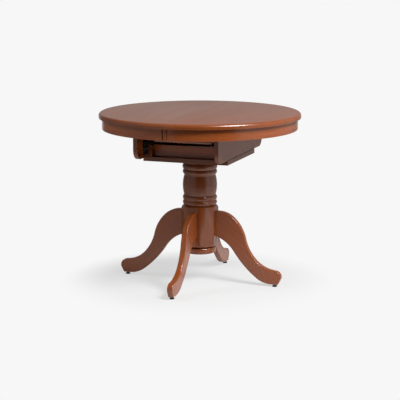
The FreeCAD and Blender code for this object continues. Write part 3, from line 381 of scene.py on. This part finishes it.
def moulded_plastic(name):
    """Black polypropylene with a spark-eroded mould grain, which takes the shine off."""
    material, tree = new_material(name)
    place = add(tree, "ShaderNodeTexCoord").outputs["Object"]
    grit = add(tree, "ShaderNodeTexNoise", {"Vector": place, "Scale": 1 / GRIT_SIZE, "Detail": 2.0})
    gloss = add(tree, "ShaderNodeMapRange", {
        "Value": grit.outputs["Fac"], "To Min": 0.42, "To Max": 0.58}).outputs[0]
    plastic = tuple(bpy.context.scene.table_plain.plastic)
    worn = tuple(c * GRIT_SHADE for c in plastic)
    colour = add(tree, "ShaderNodeMix", {
        0: grit.outputs["Fac"], 6: opaque(plastic), 7: opaque(worn)}, data_type="RGBA")
    relief = add(tree, "ShaderNodeBump", {
        "Height": grit.outputs["Fac"], "Strength": 0.15, "Distance": 0.1 * MM})
    shader = add(tree, "ShaderNodeBsdfPrincipled", {
        "Base Color": colour.outputs[2], "Roughness": gloss, "IOR": 1.49, "Normal": relief.outputs[0]})
    add(tree, "ShaderNodeOutputMaterial", {"Surface": shader.outputs[0]})
    return material


def coat(node, material):
    """Gives a node that keeps its own shape a new material."""
    NODES[node].material_slots[0].material = material


def merged_mesh(node):
    """A copy of a node's mesh with its loose triangles joined and flat faces made whole."""
    source = bmesh.new()
    source.from_mesh(NODES[node].data)
    bmesh.ops.remove_doubles(source, verts=source.verts, dist=SAME_POINT)
    bmesh.ops.dissolve_limit(source, angle_limit=FLAT_ANGLE, verts=source.verts, edges=source.edges)
    mesh = bpy.data.meshes.new(f"{node}_merged")
    source.to_mesh(mesh)
    source.free()
    for name in ("custom_normal", "sharp_edge", "sharp_face"):
        if name in mesh.attributes:
            mesh.attributes.remove(mesh.attributes[name])
    mesh.shade_smooth()
    return mesh


def applied(piece):
    """Turns what the modifiers give into the piece's own plain mesh."""
    depsgraph = bpy.context.evaluated_depsgraph_get()
    mesh = bpy.data.meshes.new_from_object(piece.evaluated_get(depsgraph))
    mesh.name = piece.name
    piece.modifiers.clear()
    piece.data = mesh


def placed(piece, node_names, material):
    """Puts a finished piece on the body of the nodes that it stands for."""
    piece.data.materials.clear()
    piece.data.materials.append(material)
    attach(piece, BODY_OF[node_names[0]])
    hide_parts(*node_names)


def box_round(points):
    """The low and the high corner of the box round some points."""
    return (Vector([min(point[axis] for point in points) for axis in range(3)]),
            Vector([max(point[axis] for point in points) for axis in range(3)]))


def joined_groups(items, links):
    """Edges or points sorted into groups that join up, in the same order each run."""
    left = set(items)
    for start in items:
        if start not in left:
            continue
        left.remove(start)
        group, front = [], [start]
        while front:
            item = front.pop()
            group.append(item)
            for other in links(item):
                if other in left:
                    left.remove(other)
                    front.append(other)
        yield group


def weigh_edges(mesh, shortest):
    """Marks the sharp edges that are rubbed down: all that are longer than the shortest, apart from the rims
    of drilled holes, which stay as they were cut."""
    source = bmesh.new()
    source.from_mesh(mesh)
    weight = source.edges.layers.float.new("bevel_weight_edge")
    sharp = [edge for edge in source.edges if edge.is_manifold and edge.calc_face_angle() > SHARP_ANGLE]
    for edge in sharp:
        edge.smooth = False
    rubbed = [edge for edge in sharp if edge.calc_length() > shortest]
    for group in joined_groups(
            rubbed, lambda edge: [other for vert in edge.verts for other in vert.link_edges]):
        low, high = box_round([vert.co for edge in group for vert in edge.verts])
        if max(high - low) > WIDEST_HOLE:
            for edge in group:
                edge[weight] = 1.0
                edge.smooth = True
    source.to_mesh(mesh)
    source.free()


def softened(node, name, width, material, shortest=0.0):
    """A copy of a node with its sharp edges rubbed round, as wood is before it is finished."""
    mesh = merged_mesh(node)
    weigh_edges(mesh, shortest)
    piece = bpy.data.objects.new(name, mesh)
    bpy.context.scene.collection.objects.link(piece)
    bevel = piece.modifiers.new("Arris", "BEVEL")
    bevel.width = width
    bevel.segments = ARRIS_SEGMENTS
    bevel.limit_method = "WEIGHT"
    bevel.use_clamp_overlap = False
    bevel.loop_slide = False
    bevel.harden_normals = True
    applied(piece)
    placed(piece, [node], material)


class DressTops(bpy.types.Operator):
    """Finish the two half tops and the folded leaf"""
    bl_idname = "table.dress_tops"
    bl_label = "Half Tops and Leaf"

    def execute(self, context):
        arris = context.scene.table_edges.board
        board = stained("stained_board", ALONG_Y, seed=3.0, stave=STAVE_WIDTH, contrast=0.4)
        for side in HALVES:
            softened(f"top_{side}", f"board_{side}", arris, board)
        leaf = stained("stained_leaf", ALONG_Y, seed=11.0, stave=STAVE_WIDTH, contrast=0.4)
        for level in ("lower", "upper"):
            softened(f"leaf_{level}", f"leaf_board_{level}", arris, leaf)
        dowel = planed_beech("turned_dowel", ALONG_X, seed=7.0)
        for node in ("seam_pins", "leaf_pins_lower", "leaf_pins_upper"):
            coat(node, dowel)
        return {"FINISHED"}


class DressAprons(bpy.types.Operator):
    """Finish the bent aprons, the beads that close them at the seam, and their glue blocks"""
    bl_idname = "table.dress_aprons"
    bl_label = "Aprons"

    def execute(self, context):
        edges = context.scene.table_edges
        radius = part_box("apron_right")[1].x
        # The aprons and their beads are lightened by the factor: painted light.
        bent = stained("bent_apron", ALONG_X, seed=5.0, bent=radius, painted_light_and_shade=1.38)
        upright = stained("apron_bead", UPRIGHT, seed=9.0, painted_light_and_shade=1.38)
        block = planed_beech("glue_block", UPRIGHT, seed=2.0)
        for side in HALVES:
            softened(f"apron_{side}", f"apron_bend_{side}", edges.apron, bent)
            softened(f"apron_beads_{side}", f"seam_beads_{side}", edges.bead, upright)
            softened(f"apron_blocks_{side}", f"glue_blocks_{side}", edges.slide, block)
        return {"FINISHED"}


class DressBox(bpy.types.Operator):
    """Finish the box under the top with its slides"""
    bl_idname = "table.dress_box"
    bl_label = "Box and Slides"

    def execute(self, context):
        edges = context.scene.table_edges
        rail = stained("stained_rail", ALONG_Y, seed=13.0)
        # The panels are lightened and the plate darkened by the factor: painted light on the panels, painted
        # shade on the plate.
        cross = stained("stained_panel", ALONG_X, seed=17.0, painted_light_and_shade=1.9)
        plate = stained("stained_plate", ALONG_X, seed=29.0, polish=1.3, painted_light_and_shade=0.8)
        for side in HALVES:
            softened(f"rail_{side}", f"box_rail_{side}", edges.box, rail)
        for end in ENDS:
            softened(f"panel_{end}", f"box_panel_{end}", edges.box, cross)
        softened("base_plate", "box_plate", edges.box, plate)
        softened("corner_blocks", "box_corner_blocks", edges.slide, rail)
        beech = planed_beech("slide_beech", ALONG_X, seed=4.0)
        for end in ENDS:
            softened(f"slide_bar_{end}", f"grooved_bar_{end}", edges.slide, beech)
            for side in HALVES:
                softened(f"runner_{end}_{side}", f"tongued_runner_{end}_{side}", edges.slide, beech)
        return {"FINISHED"}


class DressPedestal(bpy.types.Operator):
    """Finish the column, the legs and the glides"""
    bl_idname = "table.dress_pedestal"
    bl_label = "Pedestal"

    def execute(self, context):
        # The column is darkened a little by the factor: painted shade.
        turned = stained("turned_column_wood", UPRIGHT, seed=19.0, polish=0.8, contrast=0.7, painted_light_and_shade=0.96)
        softened("column", "turned_column", context.scene.table_edges.hub, turned, STRAIGHT_EDGE)
        for turn, side in enumerate(LEG_SIDES):
            low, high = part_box(f"leg_{side}")
            middle = (low + high) / 2
            along = Vector((middle.x, middle.y, 0)).normalized() - Vector((0, 0, LEG_GRAIN_FALL))
            along.normalize()
            # The legs are lightened by the factor: painted light.
            sawn = stained(f"leg_wood_{side}", along, seed=23.0 + turn, contrast=0.6, painted_light_and_shade=1.22)
            coat(f"leg_{side}", sawn)
        plastic = moulded_plastic("glide_plastic")
        for side in LEG_SIDES:
            coat(f"glide_{side}", plastic)
        return {"FINISHED"}


def islands(mesh):
    """The points of each separate solid in a merged mesh."""
    source = bmesh.new()
    source.from_mesh(mesh)
    groups = joined_groups(
        list(source.verts), lambda vert: [edge.other_vert(vert) for edge in vert.link_edges])
    found = [[vert.co.copy() for vert in group] for group in groups]
    source.free()
    return found


def screw_fit(points):
    """Where a screw's head seats, which way it faces, and its sizes, from the points of its solid."""
    low, high = box_round(points)
    middle = (low + high) / 2
    axis = max(range(3), key=lambda index: high[index] - low[index])
    outward = Vector([float(index == axis) for index in range(3)])

    def radius(point):
        """How far a point is from the screw's axis."""
        offset = point - middle
        return (offset - outward * offset.dot(outward)).length

    head_radius = max(radius(point) for point in points)
    head = [point for point in points if radius(point) > head_radius - SAME_LEVEL]
    if head[0][axis] < middle[axis]:
        outward = -outward
    along = [(point - middle).dot(outward) for point in head]
    shank = [point for point in points if (point - middle).dot(outward) < min(along) + SAME_LEVEL]
    sizes = {
        "Head Radius": head_radius,
        "Head Height": max(along) - min(along),
        "Shank Radius": max(radius(point) for point in shank if point not in head),
        "Shank Length": min(along) - min((point - middle).dot(outward) for point in points),
    }
    return middle + outward * min(along), outward, sizes


def screw_tree():
    """A node group that sets a tapered wood screw, with a domed head and a cross recess, at each point."""
    tree = bpy.data.node_groups.new("wood_screws", "GeometryNodeTree")
    tree.interface.new_socket("Points", in_out="INPUT", socket_type="NodeSocketGeometry")
    for name in ("Head Radius", "Head Height", "Shank Radius", "Shank Length"):
        tree.interface.new_socket(name, in_out="INPUT", socket_type="NodeSocketFloat")
    tree.interface.new_socket("Seed", in_out="INPUT", socket_type="NodeSocketInt")
    tree.interface.new_socket("Material", in_out="INPUT", socket_type="NodeSocketMaterial")
    tree.interface.new_socket("Screws", in_out="OUTPUT", socket_type="NodeSocketGeometry")
    given = add(tree, "NodeGroupInput").outputs

    def times(value, factor):
        """A value or a socket, multiplied."""
        return add(tree, "ShaderNodeMath", {0: value, 1: factor}, operation="MULTIPLY").outputs[0]

    def moved(mesh, height, scale=None):
        """A mesh lifted along the screw's axis, and stretched where a scale is given."""
        place = add(tree, "ShaderNodeCombineXYZ", {"Z": height}).outputs[0]
        inputs = {"Geometry": mesh, "Translation": place}
        if scale:
            inputs["Scale"] = add(tree, "ShaderNodeCombineXYZ", dict(zip("XYZ", scale))).outputs[0]
        return add(tree, "GeometryNodeTransform", inputs).outputs[0]

    radius, height = given["Head Radius"], given["Head Height"]
    drum = add(tree, "GeometryNodeMeshCylinder", {
        "Vertices": HEAD_SIDES, "Radius": radius, "Depth": height}).outputs["Mesh"]
    drum = moved(drum, times(height, 0.5))
    # An ellipsoid a quarter wider than the head domes its upper two fifths.
    dome = add(tree, "GeometryNodeMeshUVSphere", {
        "Segments": HEAD_SIDES, "Rings": DOME_RINGS, "Radius": 1.0}).outputs["Mesh"]
    wide = times(radius, DOME_SPREAD)
    dome = moved(dome, 0.0, (wide, wide, height))
    head = add(tree, "GeometryNodeMeshBoolean", {"Mesh 2": drum}, operation="INTERSECT")
    tree.links.new(dome, head.inputs["Mesh 2"])
    recess = add(tree, "GeometryNodeMeshBoolean", {"Mesh 1": head.outputs["Mesh"]}, operation="DIFFERENCE")
    for width, length in ((RECESS_WIDTH, RECESS_LENGTH), (RECESS_LENGTH, RECESS_WIDTH)):
        size = add(tree, "ShaderNodeCombineXYZ", {
            "X": times(radius, width), "Y": times(radius, length),
            "Z": times(height, 2 * RECESS_DEPTH)}).outputs[0]
        groove = add(tree, "GeometryNodeMeshCube", {"Size": size}).outputs["Mesh"]
        tree.links.new(moved(groove, height), recess.inputs["Mesh 2"])
    shank = add(tree, "GeometryNodeMeshCone", {
        "Vertices": SHANK_SIDES, "Radius Bottom": times(given["Shank Radius"], TIP_SHARE),
        "Radius Top": given["Shank Radius"], "Depth": given["Shank Length"]}).outputs["Mesh"]
    shank = moved(shank, times(given["Shank Length"], -1.0))
    screw = add(tree, "GeometryNodeJoinGeometry", {"Geometry": shank})
    tree.links.new(recess.outputs["Mesh"], screw.inputs["Geometry"])
    outward = add(tree, "GeometryNodeInputNamedAttribute", {"Name": "outward"}, data_type="FLOAT_VECTOR")
    facing = add(tree, "FunctionNodeAlignRotationToVector", {
        "Vector": outward.outputs["Attribute"]}, axis="Z")
    angle = add(tree, "FunctionNodeRandomValue", {
        "Min": 0.0, "Max": math.tau, "Seed": given["Seed"]}, data_type="FLOAT").outputs["Value"]
    driven = add(tree, "FunctionNodeAxisAngleToRotation", {"Axis": UPRIGHT, "Angle": angle}).outputs[0]
    turn = add(tree, "FunctionNodeRotateRotation", {
        "Rotation": facing.outputs[0], "Rotate By": driven}, rotation_space="LOCAL").outputs[0]
    set_out = add(tree, "GeometryNodeInstanceOnPoints", {
        "Points": given["Points"], "Instance": screw.outputs[0], "Rotation": turn}).outputs[0]
    plain = add(tree, "GeometryNodeRealizeInstances", {"Geometry": set_out}).outputs[0]
    finished = add(tree, "GeometryNodeSetMaterial", {
        "Geometry": plain, "Material": given["Material"]}).outputs[0]
    add(tree, "NodeGroupOutput", {"Screws": finished})
    return tree


def driven_screws(node, tree, material):
    """Detailed screws in the places of a node's plain ones."""
    fits = [screw_fit(points) for points in islands(merged_mesh(node))]
    mesh = bpy.data.meshes.new(f"driven_{node}")
    mesh.from_pydata([place for place, outward, sizes in fits], [], [])
    facing = mesh.attributes.new("outward", "FLOAT_VECTOR", "POINT")
    for index, (place, outward, sizes) in enumerate(fits):
        facing.data[index].vector = outward
    piece = bpy.data.objects.new(f"driven_{node}", mesh)
    bpy.context.scene.collection.objects.link(piece)
    screws = piece.modifiers.new("Screws", "NODES")
    screws.node_group = tree
    values = {**fits[0][2], "Seed": SCREW_SEED, "Material": material}
    for socket in tree.interface.items_tree:
        if socket.name in values:
            screws[socket.identifier] = values[socket.name]
    applied(piece)
    piece.data.shade_smooth()
    piece.data.set_sharp_from_angle(angle=SCREW_ANGLE)
    placed(piece, [node], material)


class DressHardware(bpy.types.Operator):
    """Finish the steel angles, hinges, bolts and screws"""
    bl_idname = "table.dress_hardware"
    bl_label = "Hardware"

    def execute(self, context):
        plain = context.scene.table_plain
        zinc = zinc_plate("zinc_plate", seed=1.0, zinc=tuple(plain.zinc))
        # The angles that carry the leaf take the darker copy of the zinc.
        dark_zinc = zinc_plate("dark_zinc_plate", seed=2.0, zinc=tuple(plain.dark_zinc))
        softened("leaf_brackets", "leaf_angles", context.scene.table_edges.steel, dark_zinc)
        tree = screw_tree()
        for node in SCREW_NODES:
            driven_screws(node, tree, zinc)
        for node, slot in SLOTS.items():
            if slot in ("plated_steel", "screw_steel") and node not in (*SCREW_NODES, "leaf_brackets"):
                coat(node, zinc)
        return {"FINISHED"}


def soft_box(name, azimuth, rise, power):
    """A square soft box in a direction from the table, pointed back at it."""
    around, up = math.radians(azimuth), math.radians(rise)
    level = math.cos(up)
    way = Vector((math.sin(around) * level, -math.cos(around) * level, math.sin(up)))
    data = bpy.data.lights.new(name, "AREA")
    data.shape = "SQUARE"
    data.size = SOFT_BOX_SIZE
    data.energy = power
    lamp = bpy.data.objects.new(name, data)
    lamp.location = SOFT_BOX_AIM + way * SOFT_BOX_REACH
    lamp.rotation_euler = (-way).to_track_quat("-Z", "Y").to_euler()
    bpy.context.scene.collection.objects.link(lamp)
    return lamp


def room_level(tree, way, levels):
    """How bright the room is in a direction, by its azimuth, and how high the direction points."""
    parts = add(tree, "ShaderNodeSeparateXYZ", {"Vector": way}).outputs
    front = add(tree, "ShaderNodeMath", {0: parts["Y"], 1: -1.0}, operation="MULTIPLY").outputs[0]
    turn = add(tree, "ShaderNodeMath", {0: parts["X"], 1: front}, operation="ARCTAN2").outputs[0]
    share = add(tree, "ShaderNodeMapRange", {
        "Value": turn, "From Min": -math.pi, "From Max": math.pi}).outputs[0]
    ramp = add(tree, "ShaderNodeValToRGB", {"Fac": share})
    # A new ramp has two stops, of which one is kept.
    stops = ramp.color_ramp.elements
    stops.remove(stops[-1])
    for index, (azimuth, level) in enumerate(levels):
        place = azimuth / 360 + 0.5
        stop = stops.new(place) if index else stops[0]
        stop.position = place
        stop.color = (level, level, level, 1.0)
    return ramp.outputs["Color"], parts["Z"]


def build_world(stage):
    """A room of pale walls, dark on the camera's side, with a plain backdrop where the camera looks."""
    world = bpy.data.worlds.new("studio")
    bpy.context.scene.world = world
    world.use_nodes = True
    tree = world.node_tree
    tree.nodes.clear()
    walls, height = room_level(tree, add(tree, "ShaderNodeTexCoord").outputs["Generated"], WALL_LEVELS)
    walls = add(tree, "ShaderNodeMath", {0: walls, 1: stage.room}, operation="MULTIPLY").outputs[0]
    overhead = add(tree, "ShaderNodeMapRange", {
        "Value": height, "From Min": CEILING_FADE[0], "From Max": CEILING_FADE[1]},
        interpolation_type="SMOOTHSTEP").outputs[0]
    strength = add(tree, "ShaderNodeMix", {0: overhead, 2: walls, 3: stage.ceiling}).outputs[0]
    seen = add(tree, "ShaderNodeLightPath").outputs["Is Camera Ray"]
    strength = add(tree, "ShaderNodeMath", {0: strength, 1: seen}, operation="MAXIMUM").outputs[0]
    backdrop = add(tree, "ShaderNodeBackground", {"Color": opaque(stage.background), "Strength": strength})
    add(tree, "ShaderNodeOutputWorld", {"Surface": backdrop.outputs[0]})


def build_floor(stage):
    """A pale floor that keeps the shadow near the table and fades to the backdrop further out."""
    mesh = bpy.data.meshes.new("studio_floor")
    corners = [(x * FLOOR_HALF, y * FLOOR_HALF, 0) for x, y in ((-1, -1), (1, -1), (1, 1), (-1, 1))]
    mesh.from_pydata(corners, [], [(0, 1, 2, 3)])
    floor = bpy.data.objects.new("studio_floor", mesh)
    bpy.context.scene.collection.objects.link(floor)
    material, tree = new_material("pale_floor")
    place = add(tree, "ShaderNodeTexCoord").outputs["Object"]
    distance = add(tree, "ShaderNodeVectorMath", {0: place}, operation="LENGTH").outputs["Value"]
    path = add(tree, "ShaderNodeLightPath").outputs

    def faded(span, start=0.0):
        """Rises from the start to one over a span of distances from the middle."""
        return add(tree, "ShaderNodeMapRange", {
            "Value": distance, "From Min": span[0], "From Max": span[1], "To Min": start},
            interpolation_type="SMOOTHSTEP").outputs[0]

    near = faded(NEAR_FADE, FLOOR_NEAR_SHARE)
    far = faded(SWEEP_FADE)
    shown = add(tree, "ShaderNodeMath", {
        0: path["Is Glossy Ray"], 1: path["Is Transmission Ray"]}, operation="MAXIMUM").outputs[0]
    shown = add(tree, "ShaderNodeMath", {0: shown, 1: far}, operation="MULTIPLY").outputs[0]
    fade = add(tree, "ShaderNodeMath", {
        0: path["Is Camera Ray"], 1: near, 2: shown}, operation="MULTIPLY_ADD").outputs[0]
    walls = room_level(tree, place, SWEEP_LEVELS)[0]
    strength = add(tree, "ShaderNodeMath", {
        0: walls, 1: path["Is Camera Ray"]}, operation="MAXIMUM").outputs[0]
    # Past the feet the floor is grey on the camera's side, where the room is dark.
    dimmed = add(tree, "ShaderNodeMapRange", {
        "Value": walls, "To Min": FLOOR_GREY, "To Max": FLOOR_WHITE}).outputs[0]
    thrown = add(tree, "ShaderNodeMix", {0: faded(GREY_FADE), 2: FLOOR_WHITE, 3: dimmed}).outputs[0]
    white = add(tree, "ShaderNodeMix", {0: path["Is Camera Ray"], 2: thrown, 3: FLOOR_SEEN}).outputs[0]
    matt = add(tree, "ShaderNodeBsdfDiffuse", {"Color": white})
    plain = add(tree, "ShaderNodeEmission", {"Color": opaque(stage.background), "Strength": strength})
    mix = add(tree, "ShaderNodeMixShader", {0: fade, 1: matt.outputs[0], 2: plain.outputs[0]})
    add(tree, "ShaderNodeOutputMaterial", {"Surface": mix.outputs[0]})
    mesh.materials.append(material)


class SetStage(bpy.types.Operator):
    """Set the pale floor, the soft light and the camera"""
    bl_idname = "table.set_stage"
    bl_label = "Stage"

    def execute(self, context):
        stage = context.scene.table_stage
        context.scene.view_settings.view_transform = "Standard"
        build_world(stage)
        build_floor(stage)
        for name, (azimuth, rise, share) in SOFT_BOXES.items():
            lamp = soft_box(name, azimuth, rise, stage.key_power * share)
            # The fill gives light, but no gleam along the left of the rim.
            lamp.visible_glossy = name != "fill_left"
        data = bpy.data.cameras.new("camera")
        data.lens = stage.lens
        data.sensor_width = SENSOR_WIDTH
        camera = bpy.data.objects.new("camera", data)
        camera.location = stage.camera_place
        camera.rotation_euler = (math.pi / 2 - stage.pitch, 0.0, stage.azimuth)
        context.scene.collection.objects.link(camera)
        context.scene.camera = camera
        return {"FINISHED"}


STEPS = (DressTops, DressAprons, DressBox, DressPedestal, DressHardware, SetStage)


class TablePanel(bpy.types.Panel):
    """Lists the steps that dress the table"""
    bl_idname = "VIEW3D_PT_extending_table"
    bl_label = "Extending Table"
    bl_space_type = "VIEW_3D"
    bl_region_type = "UI"
    bl_category = "Table"

    def draw(self, context):
        for step in STEPS:
            self.layout.operator(step.bl_idname)
        for name, group in GROUPS.items():
            box = self.layout.box()
            for prop in group.__annotations__:
                box.prop(getattr(context.scene, name), prop)


def register():
    for cls in (*GROUPS.values(), *STEPS, TablePanel):
        bpy.utils.register_class(cls)
    for name, group in GROUPS.items():
        setattr(bpy.types.Scene, name, bpy.props.PointerProperty(type=group))


def unregister():
    for name in GROUPS:
        delattr(bpy.types.Scene, name)
    for cls in reversed((*GROUPS.values(), *STEPS, TablePanel)):
        bpy.utils.unregister_class(cls)


def main():
    register()
    bpy.ops.table.dress_tops()
    bpy.ops.table.dress_aprons()
    bpy.ops.table.dress_box()
    bpy.ops.table.dress_pedestal()
    bpy.ops.table.dress_hardware()
    bpy.ops.table.set_stage()


if __name__ == "__main__":
    main()
